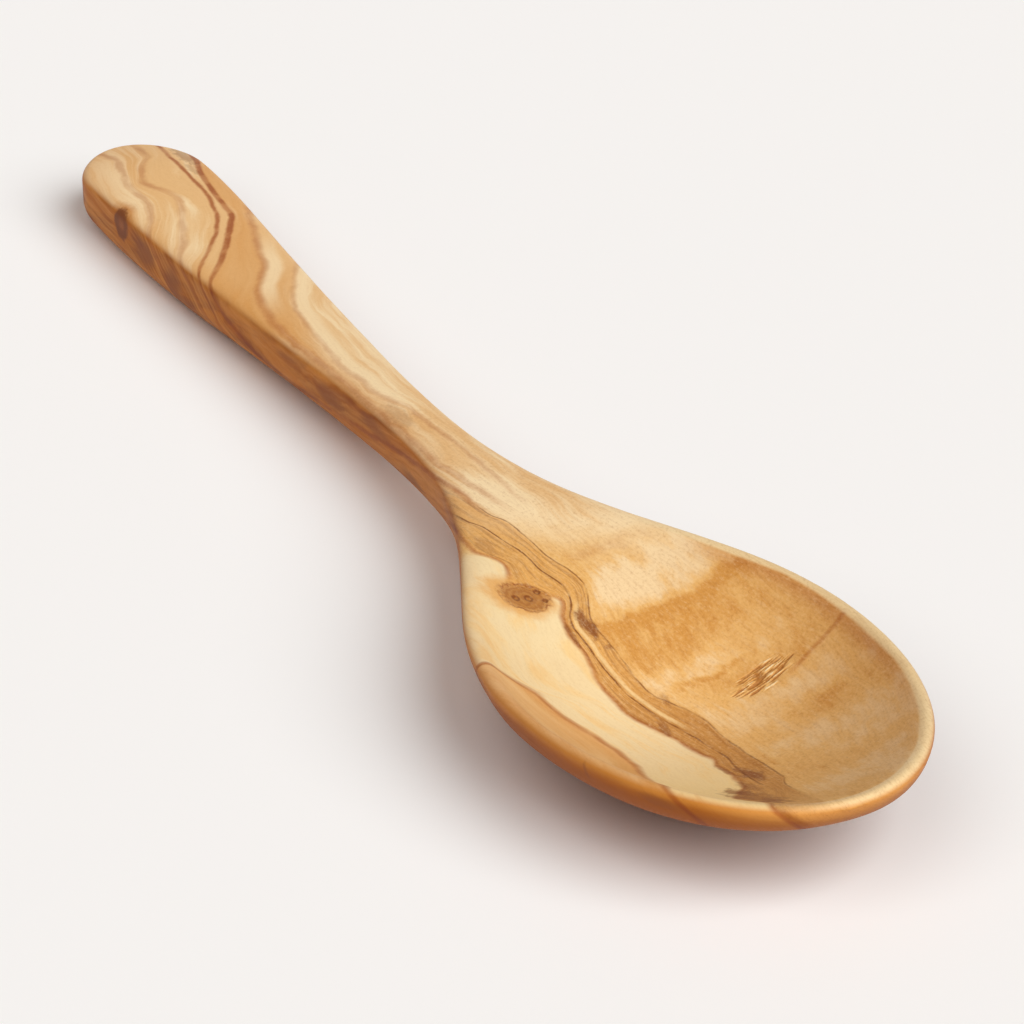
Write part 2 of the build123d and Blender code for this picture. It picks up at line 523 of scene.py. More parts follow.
# Growth lines seen from above, as places (along, across) in millimetres from the handle's end to
# the bowl's tip. Past the spoon's left side they run on down its face.
GROWTH_LINES = {
    "left": [
        (-130, -5), (-122, -3.4), (-110, -6), (-102, -5.6), (-96, -7.6), (-85, -16), (-70, -26),
        (-40, -30), (60, -32), (70.5, -30), (71.2, -20), (72, -18.2), (76, -16.5), (80, -13.4),
        (84, -11.8), (90, -11.6), (94, -13), (106, -16.2), (114, -19.5), (130, -26)],
    "edge": [
        (-130, 2), (-120, 1.5), (-117, -0.8), (-110, -3.6), (-103, -1), (-100, -0.8), (-94, -3),
        (-85, -6.3), (-78, -11), (-66, -20), (-40, -22), (-10, -18), (10, -14), (30, -11.5),
        (36, -12), (39.6, -12.2), (40.6, -10), (42, -8.8), (44.5, -9.3), (46.5, -10.5), (48, -9),
        (49.5, -5), (50.5, -3.8), (52, -4.3),
        (54, -5.6), (58, -6.3), (62, -5.6), (67, -6.5), (74, -5.5), (82, -1.5), (90, 0.2),
        (92, -0.6), (97, -0.7), (104, -2.6), (109, -6.2), (112.5, -8.4), (116, -8.6), (120, -8.2),
        (124, -9.4), (130, -12)],
    "main": [
        (-130, 6), (-120, 5), (-100, 4.2), (-92, 2.5), (-85, -0.6), (-78, -5.6), (-66, -15),
        (-50, -19), (-20, -15.5), (0, -12.5), (24, -9.8), (30, -8.7), (32, -7.4), (36, -6.3),
        (38, -5.2), (40, -4.6), (44, -4.1), (46, -3), (48, -2.3), (50, -2.4), (52, -3.1),
        (54, -4.3), (56, -5), (60, -4.4), (62, -4.5), (66, -4.1), (70, -3.5), (75, -1.7), (79, 0),
        (83, 1.2), (90, 2), (92, 1.5), (104, -0.3), (109, -0.6), (115, -3.7), (118, -4.7),
        (130, -10)],
    "second": [
        (-130, 9.6), (-117, 8.9), (-110, 6.8), (-100, 5.5), (-92, 4.8), (-90, 4.2), (-84, 1),
        (-78, -2.2), (-75, -4), (-70, -8.5), (-64, -12), (-54, -14), (-40, -14), (-20, -11),
        (-5, -8.5), (18, -6), (27, -5.2), (29, -4.8), (30, -4), (32, -3.1), (40, -1.8),
        (43, -0.9), (46, 0.4), (48.5, 0.8), (52, -0.4), (56, -1.9), (60, -1.1), (65, -0.9),
        (70, -0.5), (72, 0.2), (74, 1.8), (77, 3.4), (80, 4.3), (90, 4.4), (96, 4.3), (104, 3.2),
        (108, 1.5), (115, 0.1), (130, -3.8)],
    "wave": [
        (-130, 13), (-100, 10.5), (-85, 6), (-76, 3), (-72, 2.2), (-69, 1), (-63, -2.6),
        (-57, -4.4), (-50, -5.4), (-40, -5.4), (-30, -4.8), (0, -4.4), (10, -4.6), (20, -3.2),
        (30, -1), (36, -0.4), (43, 1.4), (48, 2.6), (60, 1.2), (70, 2.4), (76, 5), (90, 5.9),
        (100, 5.2), (110, 3.2), (130, -1.5)],
    "crest": [
        (-130, 18), (-90, 14), (-72, 8), (-64, 4), (-56, 0.3), (-52, -0.8), (-40, -2), (-29, -3),
        (-22, -2.2), (-18, -2.6), (-10, -0.4), (10, 0.8), (30, 1.4), (35, 1.2), (43, 3), (50, 5),
        (70, 5.5), (80, 8), (95, 8.5), (110, 7), (130, 2)],
    "far": [
        (-130, 26), (-70, 12), (-60, 8), (-50, 5.4), (-20, 3), (0, 4), (20, 6), (40, 12), (60, 18),
        (80, 22), (100, 20), (130, 10)],
}
LAYER_OF_LINE = {
    "left": -19, "edge": -9, "main": -5, "second": -1.5, "wave": 2, "crest": 5, "far": 12,
}
FIELD_GROUPS = {"lines_left": ("left", "edge", "main"), "lines_right": ("second", "wave", "crest")}
LINE_FAIRING = 0.55 * MM

# How far the layers lean across the spoon for each millimetre of depth
LAYER_LEAN = 1.2


class SPOON_OT_grain(bpy.types.Operator):
    """Lay the growth lines through the carved wood"""

    bl_idname = "spoon.grain"
    bl_label = "Lay the grain"

    def execute(self, context):
        mesh = bpy.data.objects["carved_spoon"].data
        profile = PROFILE["spoon"]
        x, y, z = vertex_array(mesh).T
        depth = np.maximum(profile.top(x, y) - z, 0)
        across = y - LAYER_LEAN * depth
        heights, gaps = {}, {}
        for name, corners in GROWTH_LINES.items():
            places, offsets = np.array(corners).T * MM
            line = faired(np.interp(profile.x, places, offsets), LINE_FAIRING)
            heights[name] = profile.at(line, x)
            steep = profile.at(np.gradient(line, STEP), x)
            gaps[name] = (across - heights[name]) / np.sqrt(1 + steep**2) / MM
        for group, names in FIELD_GROUPS.items():
            keep_field(mesh, group, np.stack([gaps[name] for name in names], axis=1))

        names = list(LAYER_OF_LINE)
        layer = LAYER_OF_LINE[names[0]] + (across - heights[names[0]]) / MM
        for name, after in zip(names, names[1:]):
            start, end = heights[name], heights[after]
            share = (across - start) / np.maximum(end - start, 0.3 * MM)
            rise = LAYER_OF_LINE[after] - LAYER_OF_LINE[name]
            layer = np.where(across > start, LAYER_OF_LINE[name] + share * rise, layer)
        layer = np.where(across > end, LAYER_OF_LINE[names[-1]] + (across - end) / MM, layer)
        keep_field(mesh, "layer", layer)
        keep_field(mesh, "inset", -profile.side_gap(x, y) / MM)
        keep_field(mesh, "depth", depth / MM)
        return {"FINISHED"}


# Finish


class Term:
    """A number in a material that can be used in sums."""

    def __init__(self, tree, socket):
        self.tree, self.socket = tree, socket

    def _sum(self, operation, *values):
        node = self.tree.nodes.new("ShaderNodeMath")
        node.operation = operation
        for slot, value in zip(node.inputs, values):
            if isinstance(value, Term):
                self.tree.links.new(value.socket, slot)
            else:
                slot.default_value = value
        return Term(self.tree, node.outputs[0])

    def __add__(self, other):
        return self._sum("ADD", self, other)

    __radd__ = __add__

    def __sub__(self, other):
        return self._sum("SUBTRACT", self, other)

    def __rsub__(self, other):
        return self._sum("SUBTRACT", other, self)

    def __mul__(self, other):
        return self._sum("MULTIPLY", self, other)

    __rmul__ = __mul__

    def __abs__(self):
        return self._sum("ABSOLUTE", self)

    def least(self, other):
        return self._sum("MINIMUM", self, other)

    def most(self, other):
        return self._sum("MAXIMUM", self, other)

    def wave(self):
        return self._sum("SINE", self)


class Finish:
    """Builds one material out of nodes."""

    def __init__(self, name):
        self.material = bpy.data.materials.new(name)
        self.material.use_nodes = True
        self.tree = self.material.node_tree
        self.shader = self.tree.nodes["Principled BSDF"]

    def node(self, kind, settings=None, **sockets):
        made = self.tree.nodes.new(kind)
        for key, value in (settings or {}).items():
            setattr(made, key, value)
        for key, value in sockets.items():
            self.feed(made.inputs[key.replace("_", " ")], value)
        return made

    def feed(self, slot, value):
        if isinstance(value, Term):
            value = value.socket
        if isinstance(value, bpy.types.NodeSocket):
            self.tree.links.new(value, slot)
        elif slot.type == "RGBA":
            slot.default_value = (*value, 1)
        else:
            slot.default_value = value

    def parts(self, vector):
        made = self.node("ShaderNodeSeparateXYZ", Vector=vector)
        return [Term(self.tree, part) for part in made.outputs]

    def joined(self, x, y, z):
        return self.node("ShaderNodeCombineXYZ", X=x, Y=y, Z=z).outputs["Vector"]

    def field(self, name):
        """The three numbers of a field that the mesh carries."""
        made = self.node("ShaderNodeAttribute", {"attribute_name": name})
        return self.parts(made.outputs["Vector"])

    def number(self, name):
        made = self.node("ShaderNodeAttribute", {"attribute_name": name})
        return Term(self.tree, made.outputs["Fac"])

    def place(self):
        """Where a point is on the spoon, in millimetres."""
        spot = self.node("ShaderNodeTexCoord").outputs["Object"]
        scaled = self.node(
            "ShaderNodeVectorMath", {"operation": "SCALE"}, Vector=spot, Scale=1 / MM)
        return self.parts(scaled.outputs["Vector"])

    def noise(self, x, y, z, detail=2.0, rough=0.5, bend=0.0):
        """Noise from 0 to 1 whose lumps are one unit of the given coordinates in size."""
        made = self.node(
            "ShaderNodeTexNoise", {"noise_dimensions": "3D"}, Vector=self.joined(x, y, z),
            Scale=1.0, Detail=detail, Roughness=rough, Distortion=bend)
        return Term(self.tree, made.outputs["Fac"])

    def length(self, x, y, z):
        made = self.node(
            "ShaderNodeVectorMath", {"operation": "LENGTH"}, Vector=self.joined(x, y, z))
        return Term(self.tree, made.outputs["Value"])

    def ease(self, value, low, high):
        """0 below low and 1 above high, or the other way round if low is above high."""
        made = self.node(
            "ShaderNodeMapRange", {"interpolation_type": "SMOOTHSTEP"}, Value=value)
        ends = (low, high, 0, 1) if low < high else (high, low, 1, 0)
        for slot, end in zip(("From Min", "From Max", "To Min", "To Max"), ends):
            made.inputs[slot].default_value = end
        return Term(self.tree, made.outputs["Result"])

    def stroke(self, distance, width, soft):
        """1 on a line of that half width, falling to 0 over the soft edge."""
        return self.ease(abs(distance), width + soft, width)

    def blend(self, share, first, second, mode="MIX"):
        made = self.node("ShaderNodeMix", {"data_type": "RGBA", "blend_type": mode})
        for slot, value in ((0, share), (6, first), (7, second)):
            self.feed(made.inputs[slot], value)
        return made.outputs[2]

    def multiplied(self, share, body, stain_and_shade):
        return self.blend(share, body, stain_and_shade, "MULTIPLY")


# Bands across the heartwood: place along, lean, half width, then how much lighter or deeper, and
# the places across between which it shows
HEART_BANDS = [
    (42.6, 0.08, 1.0, -0.30, 1, 13),
    (50.5, 0.10, 4.5, 0.45, 2, 18),
    (57.8, 0.03, 1.3, -0.40, -2, 21),
    (62.6, 0.02, 4.6, -0.32, -2, 22),
    (69.2, 0.06, 1.7, 0.35, 0, 12.5),
    (71.6, 0.03, 0.6, -0.35, 4, 15),
    (74.5, 0.10, 2.6, -0.30, 7, 23),
    (82.0, 0.10, 2.8, 0.35, 5, 20),
    (72.0, 1.00, 4.0, -0.42, 12, 26),
    (91.0, 0.40, 3.0, 0.25, 5, 17),
    (101.0, 0.55, 3.2, -0.25, 4, 20),
    (114.0, 0.40, 4.5, 0.30, 1, 14),
]

# Where the dark seam across the hollow's right wall stands along the spoon
SEAM_PLACE = 79.6

# Dark blotches: place along and across, half length, half width, strength
BLOTCHES = [
    (55.8, -2.5, 3.0, 1.1, 0.85),
    (60.9, -1.7, 0.6, 0.8, 0.5),
    (58.0, -5.7, 2.6, 0.5, 0.6),
    (78.5, -1.7, 2.4, 0.7, 0.55),
    (73.0, 1.2, 1.5, 0.6, 0.4),
    (99.0, 1.3, 4.0, 1.3, 0.9),
    (94.5, -0.6, 3.0, 0.5, 0.6),
    (104.5, -2.0, 3.5, 1.1, 0.55),
    (109.5, -4.6, 3.0, 1.2, 0.5),
    (107.0, -5.0, 2.8, 1.7, 0.7),
    (114.0, -5.6, 8.0, 2.8, 0.55),
    (112.5, -7.0, 3.0, 1.3, 0.6),
    (117.5, -5.4, 3.6, 1.2, 0.8),
    (120.5, -7.0, 3.6, 0.9, 0.8),
    (-119.0, 7.6, 4.5, 1.4, 0.5),
    (-112.0, 6.4, 4.0, 0.8, 0.3),
    (-8.0, -2.6, 5.0, 1.4, 0.25),
    (37.5, -9.5, 3.0, 1.6, 0.3),
]

# Dark patches on the left face: place along and height, half length, half height, strength
SIDE_MARKS = [
    (-121.0, 5.5, 2.4, 1.8, 0.7),
    (-93.5, 6.4, 4.0, 2.2, 0.75),
    (-83.0, 5.0, 3.0, 3.0, 0.7),
    (-76.0, 3.0, 5.0, 1.6, 0.4),
    (-27.0, 8.0, 5.0, 1.6, 0.55),
    (-12.0, 10.0, 5.0, 1.3, 0.5),
    (2.0, 7.5, 6.0, 1.4, 0.55),
    (48.0, 13.0, 4.0, 1.0, 0.6),
    (72.0, 14.5, 4.0, 0.8, 0.4),
    (102.0, 15.5, 0.4, 1.8, 0.45),
    (114.0, 16.0, 3.0, 1.0, 0.5),
]

# Place along and across, height and radius of the bud on the handle's left edge
SIDE_KNOT = (-102.8, -10.2, 7.6, 2.1)

# The oiled surface: roughness of its smoothest wood, shine, and the depth of its pores
OIL_ROUGHNESS = 0.38
OIL_SHINE = 0.1
PORE_DEPTH = 0.08 * MM


class Grain:
    """Where a point lies in the wood, and the noise that the layers of the finish share."""

    def __init__(self, wood):
        self.x, self.y, self.z = x, y, z = wood.place()
        self.left, self.edge, self.main = wood.field("lines_left")
        self.second, self.wave, self.crest = wood.field("lines_right")
        self.layer = layer = wood.number("layer")
        self.inset, self.depth = wood.number("inset"), wood.number("depth")

        # Slow wander, so that no layer runs dead true
        self.sway = sway = wood.noise(x * 0.05, y * 0.08, z * 0.08, 2) - 0.5
        self.ripple = ripple = wood.noise(x * 0.35, layer * 0.35, z * 0.3, 3) - 0.5

        run = layer + sway * 4 + ripple * 0.9
        smooth = layer + sway * 3
        self.broad = wood.noise(x * 0.035, run * 0.16, z * 0.05, 2)
        self.streak = wood.noise(x * 0.045, run * 0.8, z * 0.1, 3, 0.6)
        self.fine = wood.noise(x * 0.16, smooth * 3.6, z * 0.7, 3, 0.65)
        self.fleck = wood.noise(x * 1.7, y * 2.4, z * 2.4, 3, 0.7)
        self.scrape = wood.noise(x * 0.5 + y * 0.1, y * 2.2 - x * 0.5, z * 1.5, 3, 0.7)

        # Shares of the pale wood on the left of the bowl, and of the outer faces
        self.on_left = wood.ease(self.edge + ripple * 0.9, 0.3, -0.3) * wood.ease(x, 37, 41)
        self.aside = wood.ease(self.depth + wood.ease(x, 55, 65) * 0.2, 0.2, 1.0)


def handle_wood(wood, colours, grain):
    """Cream, tan and gold layers between the growth lines of the handle and the neck."""
    x, streak = grain.x, grain.streak
    second, wave, crest = grain.second, grain.wave, grain.crest
    end = wood.ease(x, -96, -124)
    tint = grain.broad * 0.9 + streak * 0.5 + 0.08 - wood.ease(x, -54, -34) * 0.2 - end * 0.16
    handle = wood.blend(wood.ease(tint, 0.5, 0.78), colours.cream, colours.tan)
    handle = wood.blend(end * wood.ease(grain.edge, 1.5, -1.5) * 0.3, handle, colours.gold)
    between = wood.ease(second, -0.6, 0.4) * wood.ease(wave, 1.2, -1.2) * wood.ease(x, -60, -76)
    handle = wood.blend(between * (streak * 0.6 + 0.25), handle, colours.gold)
    low = wood.ease(crest, 0.6, -1.4) * wood.ease(x, -74, -62) * wood.ease(x, 14, -26)
    handle = wood.blend(low * (streak * 0.7 + 0.1), handle, colours.gold)
    glow = wood.stroke(wave - 1.6, 0.6, 1.4) * wood.ease(x, -50, -64)
    glow = wood.stroke(crest - 1.3, 0.5, 1.2).most(glow)
    glow = glow * wood.ease(x, -86, -70) * wood.ease(x, -6, -20)
    handle = wood.blend(glow * 0.8, handle, colours.cream)
    # Painted highlight: gold along the handle's left top edge
    handle_edge_highlight = wood.ease(grain.inset, 4.5, 1.0) * wood.ease(grain.y, 0, -4)
    return wood.blend(handle_edge_highlight * (streak * 0.5 + 0.05), handle, colours.gold)


def heart_wood(wood, colours, grain):
    """Golden wood crossed by lighter and deeper bands, and by one seam."""
    x, y, sway, ripple, streak = grain.x, grain.y, grain.sway, grain.ripple, grain.streak
    tone = (wood.noise(x * 0.11 + sway * 1.2, y * 0.025, 0.0, 2) - 0.5) * 0.8
    for place, lean, width, lift, low, high in HEART_BANDS:
        offset = x - y * lean + sway * 3 + ripple * 2.6 + (streak - 0.5) * 5 - place
        band = wood.stroke(offset, width * 0.3, width * 1.4)
        band = band * wood.ease(y, low - 2, low + 2) * wood.ease(y, high + 3, high - 3)
        tone = tone + band * lift
    mottle = wood.noise(x * 0.2 + y * 0.1, y * 0.5, 2.0, 4, 0.65) - 0.5
    tone = tone + (streak - 0.5) * 0.9 + mottle * 1.1
    # Painted light: the hollow's right wall towards the tip, which faces away from the key lamp
    tone = tone + wood.ease(y, 3, 18) * wood.ease(x, 74, 92) * 0.3
    pale = wood.ease(tone, 0.0, 0.55) * (1 - wood.ease(x, 66, 84) * 0.4)
    heart = wood.blend(pale, colours.heart, colours.heart_light)
    heart = wood.blend(wood.ease(tone, 0.05, -0.55), heart, colours.heart_deep)
    seam = wood.stroke(x - SEAM_PLACE + sway * 2 + ripple * 0.5, 0.05, 0.7)
    seam = seam * wood.ease(y, 16, 19) * wood.ease(y, 27.5, 25.5)
    return wood.multiplied(seam * 0.42, heart, colours.stain_and_shade)


def pale_wood(wood, colours, grain):
    """The pale wood on the left of the bowl, and the tan wood beyond the left line."""
    x = grain.x
    flow = wood.noise(x * 0.07, grain.layer * 0.55 + grain.sway * 3, grain.z * 0.1, 4, 0.62)
    sap = wood.blend(wood.ease(flow, 0.44, 0.66), colours.sap, colours.sap_warm)
    # Partly paler wood and partly painted light: the sapwood lightens towards the tip, where its
    # wall falls in shade
    sap = wood.blend(wood.ease(x, 82, 108) * 0.7, sap, colours.sap_bright)
    golden = wood.ease(flow, 0.56, 0.75) * wood.ease(grain.edge, -3, -8)
    sap = wood.blend(golden * 0.5, sap, colours.tan)
    tone = wood.ease(grain.broad + grain.streak * 0.2, 0.35, 0.75)
    tan = wood.blend(tone, colours.tan, colours.gold)
    past = wood.ease(grain.left + grain.ripple * 0.6, 0.5, -0.3) * wood.ease(x, 68, 71)
    return wood.blend(past * 0.85, sap, tan)


def brown_band(wood, colours, grain, body):
    """The brown band between the edge of the pale wood and the second line."""
    x, ripple = grain.x, grain.ripple
    vein = wood.noise(x * 0.05, grain.layer * 1.8 + grain.sway * 4, grain.z * 0.3, 3, 0.65)
    band = wood.blend(wood.ease(vein, 0.42, 0.66), colours.band, colours.band_deep)
    band = wood.blend(wood.ease(x, 60, 80) * 0.6, band, colours.band_deep)
    inside = wood.ease(grain.edge + ripple * 0.9, -0.3, 0.3)
    inside = inside * wood.ease(grain.second + ripple * 0.8, 0.5, -0.5)
    inside = inside * wood.ease(x, 4, 28) * (wood.ease(x, 124, 112) * 0.5 + 0.5)
    body = wood.blend(inside * (wood.ease(x, 56, 80) * 0.2 + 0.6), body, band)
    gleam = wood.stroke(grain.main - 0.75, 0.12, 0.4)
    gleam = gleam * wood.ease(x, 50, 54) * wood.ease(x, 82, 76)
    return wood.blend(gleam * 0.8, body, colours.sap_warm)


def outer_faces(wood, colours, grain, body):
    """Outer faces in amber, partly oiled wood and partly painted shade, with painted light at the
    tip.
    """
    x, depth, streak, ripple = grain.x, grain.depth, grain.streak, grain.ripple
    deep = wood.noise(x * 0.06, depth * 0.25, grain.y * 0.02, 3, 0.6, 0.8)
    patches = wood.ease(deep, 0.42, 0.66) * wood.ease(x, 100, 50)
    # The side faces' amber is partly oiled wood and partly painted shade
    side = wood.blend(patches, colours.amber, colours.amber_deep)
    golden = wood.ease(streak, 0.3, 0.7) * wood.ease(x, 50, 20)
    side = wood.blend(golden * 0.55, side, colours.gold)
    # Painted light: the tip's face, which turns to the key lamp, is painted gold
    side = wood.blend(wood.ease(x + grain.sway * 6, 119, 129) * 0.9, side, colours.gold)
    # Painted highlight: a gold line along the bowl's left top edge
    painted_edge_highlight = wood.ease(depth, 2.2, 0.4) * wood.ease(x, 50, 66) * wood.ease(grain.y, 4, -4)
    side = wood.blend(painted_edge_highlight * (streak * 0.4 + 0.4), side, colours.gold)
    # Painted shade: the bowl's sides darken towards the table
    low = wood.ease(depth + (deep - 0.5) * 2, 0.9, 3.4) * wood.ease(x, 50, 66)
    side = wood.blend(low * 0.75, side, colours.amber_deep)
    crossing = wood.ease(grain.edge + ripple, -0.2, 0.8)
    crossing = crossing * wood.ease(grain.main + ripple, 0.6, -0.8)
    side = wood.blend(crossing * wood.ease(x, 112, 118) * 0.7, side, colours.amber_deep)
    return wood.blend(grain.aside, body, side)


def blotches(wood, colours, grain, body):
    """Dark blotches on the top."""
    x, y, ripple = grain.x, grain.y, grain.ripple
    ragged = (grain.fine - 0.5) * 0.5 + (wood.noise(x * 0.45, y * 0.7, 1.0, 4, 0.6) - 0.5) * 2.2
    for along, across, length, width, strength in BLOTCHES:
        reach = wood.length((x - along) * (1 / length), (y - across) * (1 / width), ripple * 1.4)
        dark = wood.ease(reach + ragged, 1.3, 0.5) * wood.ease(grain.depth, 2.0, 0.5)
        body = wood.blend(dark * strength, body, colours.band_dark)
    return body


def growth_marks(wood, colours, grain, body):
    """Thin dark lines in the bowl, and soft brown ones along the handle."""
    x, ripple, main, second = grain.x, grain.ripple, grain.main, grain.second
    taper = wood.noise(x * 0.3, grain.layer * 0.3, grain.z * 0.3, 2)
    taper = wood.ease(taper, 0.3, 0.6) * 0.8 + 0.2
    near = wood.ease(x, 22, 30)
    thin = wood.stroke(main + ripple * 0.5, 0.04, 0.2) * near * wood.ease(x, 112, 100) * 0.75
    other = wood.stroke(second + ripple * 0.7, 0.03, 0.2) * near * wood.ease(x, 116, 106) * 0.6
    thin = (thin.most(other) * taper * 1.2).least(1) * (1 - grain.aside * 0.5)
    body = wood.blend(thin, body, colours.line)

    soft = wood.stroke(main + ripple * 0.7, 0.1, 0.6) * wood.ease(x, -60, -76) * 0.75
    other = wood.stroke(second + ripple * 0.6, 0.25, 0.6) * wood.ease(x, -64, -80) * 0.8
    soft = soft.most(other)

    # Line, how far it ripples, half width, soft edge and strength
    handle_lines = [
        (second, 1.0, 0.1, 0.8, 0.55),
        (grain.wave, 1.2, 0.1, 1.1, 0.38),
        (grain.crest, 1.2, 0.05, 0.8, 0.3),
        (grain.edge, 1.2, 0.1, 1.0, 0.35),
        (grain.left, 1.2, 0.1, 1.0, 0.35),
    ]
    for line, wander, width, fade, strength in handle_lines:
        soft = soft.most(wood.stroke(line + ripple * wander, width, fade) * strength)
    soft = soft * (1 - near)
    soft = soft.most(wood.stroke(grain.edge + ripple * 0.9, 0.1, 0.7) * near * 0.55)
    left_line = wood.stroke(grain.left + ripple * 0.8, 0.2, 0.9) * wood.ease(x, 68, 70)
    soft = (soft.most(left_line * 0.5) * (taper * 0.6 + 0.6)).least(1)
    body = wood.multiplied(soft * 0.85, body, colours.stain_and_shade)
    return wood.blend(soft * soft * 0.4, body, colours.band_dark)


def knot_marks(wood, colours, grain, body):
    """A branch cut across in the bowl, with its rings and piths."""
    x, y = grain.x, grain.y
    along, across, radius = KNOT
    rough = wood.noise(x * 0.5, y * 0.5, 5.0, 4, 0.6) - 0.5
    around = wood.length(x - along, (y - across) * KNOT_SQUEEZE, 0.0) + rough * 2.6
    rings = (around * 6).wave() * 0.5 + 0.5
    halo = wood.ease(around + (y - across) * 0.12, radius * 1.9, radius)
    body = wood.blend(halo * 0.85, body, colours.band)
    body = wood.blend(wood.ease(around, radius, radius * 0.7) * 0.8, body, colours.band_deep)
    body = wood.blend(rings * wood.ease(around, radius, radius * 0.8) * 0.4, body, colours.knot)
    ring = wood.stroke(around - radius, 0.05, 0.5) * wood.ease(rough, -0.2, 0.1)
    body = wood.blend(ring * 0.85, body, colours.knot)
    for place, offset, size in PITHS:
        pith = wood.length(x - place, y - offset, 0.0) + rough * 0.5
        body = wood.blend(wood.stroke(pith - size, 0.06, 0.25) * 0.8, body, colours.line)
    return body


def torn_fibres(wood, colours, grain, body):
    """Painted shade between the torn fibres, and painted light on them."""
    relief = wood.number("relief") * wood.ease(grain.x, 70, 73)
    body = wood.blend(wood.ease(relief, -0.02, -0.12) * 0.85, body, colours.band_deep)
    return wood.blend(wood.ease(relief, 0.0, 0.05) * 0.95, body, colours.sap)


def side_patches(wood, colours, grain, body):
    """Dark patches on the left face."""
    x, z, ripple = grain.x, grain.z, grain.ripple
    for along, height, length, width, strength in SIDE_MARKS:
        reach = wood.length((x - along) * (1 / length), (z - height) * (1 / width), ripple * 2)
        dark = wood.ease(reach + (grain.streak - 0.5) * 1.2, 1.3, 0.4)
        dark = dark * wood.ease(grain.y, 1, -2) * wood.ease(grain.depth, 0.2, 0.9)
        body = wood.blend(dark * strength, body, colours.band_dark)
    return body


def side_knot(wood, colours, grain, body):
    """A dark bud on the handle's left edge."""
    x, y, z = grain.x, grain.y, grain.z
    along, across, height, radius = SIDE_KNOT
    rough = wood.noise(x * 0.6, y * 0.6, z * 0.6, 3, 0.6) - 0.5
    around = wood.length((x - along) * 0.8, y - across, (z - height) * 0.85) + rough * 1.6
    body = wood.blend(wood.ease(around, radius * 2, radius) * 0.6, body, colours.amber)
    body = wood.blend(wood.ease(around, radius + 0.4, radius - 0.5) * 0.85, body, colours.knot)
    return wood.blend(wood.stroke(around - radius * 0.7, 0.3, 0.8) * 0.8, body, colours.line)


def rim(wood, colours, grain, body):
    """The bowl's left edge darker, a painted highlight on the rim, and painted shade inside the
    right rim.
    """
    x, y, depth, streak = grain.x, grain.y, grain.depth, grain.streak
    warm = wood.ease(grain.inset + streak * 2, 5.5, 1.5) * wood.ease(x, 36, 46)
    warm = warm * wood.ease(y, -4, -10) * wood.ease(depth, 0.9, 0.2)
    body = wood.multiplied(warm * streak * 0.35, body, colours.stain_and_shade)

    edge = grain.inset + grain.sway * 0.8
    # Painted shade inside the right rim, whose wall turns away from the key lamp
    shade = wood.ease(edge, 2.0, 2.5) * wood.ease(edge, 4.6, 2.6)
    shade = shade * wood.ease(x, 46, 58) * wood.ease(x, 112, 84) * wood.ease(y, 8, 16)
    body = wood.multiplied(shade * (streak * 0.5 + 0.1), body, colours.stain_and_shade)
    # Painted highlight: the rim's top is painted pale
    painted_rim_highlight = wood.ease(edge, 2.5, 2.0) * wood.ease(depth, 1.3, 0.3) * wood.ease(x, 34, 52)
    return wood.blend(painted_rim_highlight * wood.ease(y, -12, 4) * 0.75, body, colours.sap)


def fibres(wood, colours, grain, body):
    """Fine fibres, pores, pale flecks as painted glints, and scraping marks with painted sheen."""
    x, fleck, on_top = grain.x, grain.fleck, 1 - grain.aside
    quiet = (1 - grain.on_left * 0.6) * (wood.ease(x, -60, 30) * 0.7 + 0.3)
    body = wood.multiplied(wood.ease(grain.fine, 0.42, 0.7) * quiet * 0.12, body, colours.band_deep)
    body = wood.multiplied(wood.ease(fleck, 0.48, 0.75) * quiet * 0.24, body, colours.band_deep)
    # Painted glints: pale flecks on the top
    body = wood.blend(wood.ease(fleck, 0.5, 0.25) * on_top * quiet * 0.2, body, colours.cream)
    # Scraping marks painted pale, partly tool marks and partly painted sheen
    scraped_and_sheen = wood.ease(grain.scrape, 0.5, 0.75) * on_top * (1 - grain.on_left * 0.5)
    return wood.blend(scraped_and_sheen * wood.ease(x, 20, 40) * 0.18, body, colours.cream)


# What is laid over the plain wood, in this order
LAYERS = (
    brown_band, outer_faces, blotches, growth_marks, knot_marks, torn_fibres, side_patches,
    side_knot, rim, fibres,
)


def olive_wood(colours):
    wood = Finish("oiled_olive_wood")
    grain = Grain(wood)
    in_bowl = wood.ease(grain.x + grain.ripple * 8 - grain.y * 0.8, 28, 44)
    handle, heart = handle_wood(wood, colours, grain), heart_wood(wood, colours, grain)
    body = wood.blend(in_bowl, handle, heart)
    body = wood.blend(grain.on_left, body, pale_wood(wood, colours, grain))
    for laid_over in LAYERS:
        body = laid_over(wood, colours, grain, body)

    height = grain.fine * 0.5 + grain.scrape * 0.35 + grain.fleck * -0.3 + grain.streak * 0.3
    bump = wood.node("ShaderNodeBump", Strength=0.25, Distance=PORE_DEPTH, Height=height)
    shader = wood.shader
    wood.feed(shader.inputs["Base Color"], body)
    wood.feed(shader.inputs["Roughness"], OIL_ROUGHNESS + grain.fine * 0.16)
    wood.feed(shader.inputs["Normal"], bump.outputs["Normal"])
    shader.inputs["Specular IOR Level"].default_value = OIL_SHINE
    return wood.material


class SPOON_OT_finish(bpy.types.Operator):
    """Finish the spoon as oiled olive wood"""

    bl_idname = "spoon.finish"
    bl_label = "Finish the wood"

    def execute(self, context):
        mesh = bpy.data.objects["carved_spoon"].data
        mesh.materials.append(olive_wood(context.scene.spoon_wood))
        return {"FINISHED"}


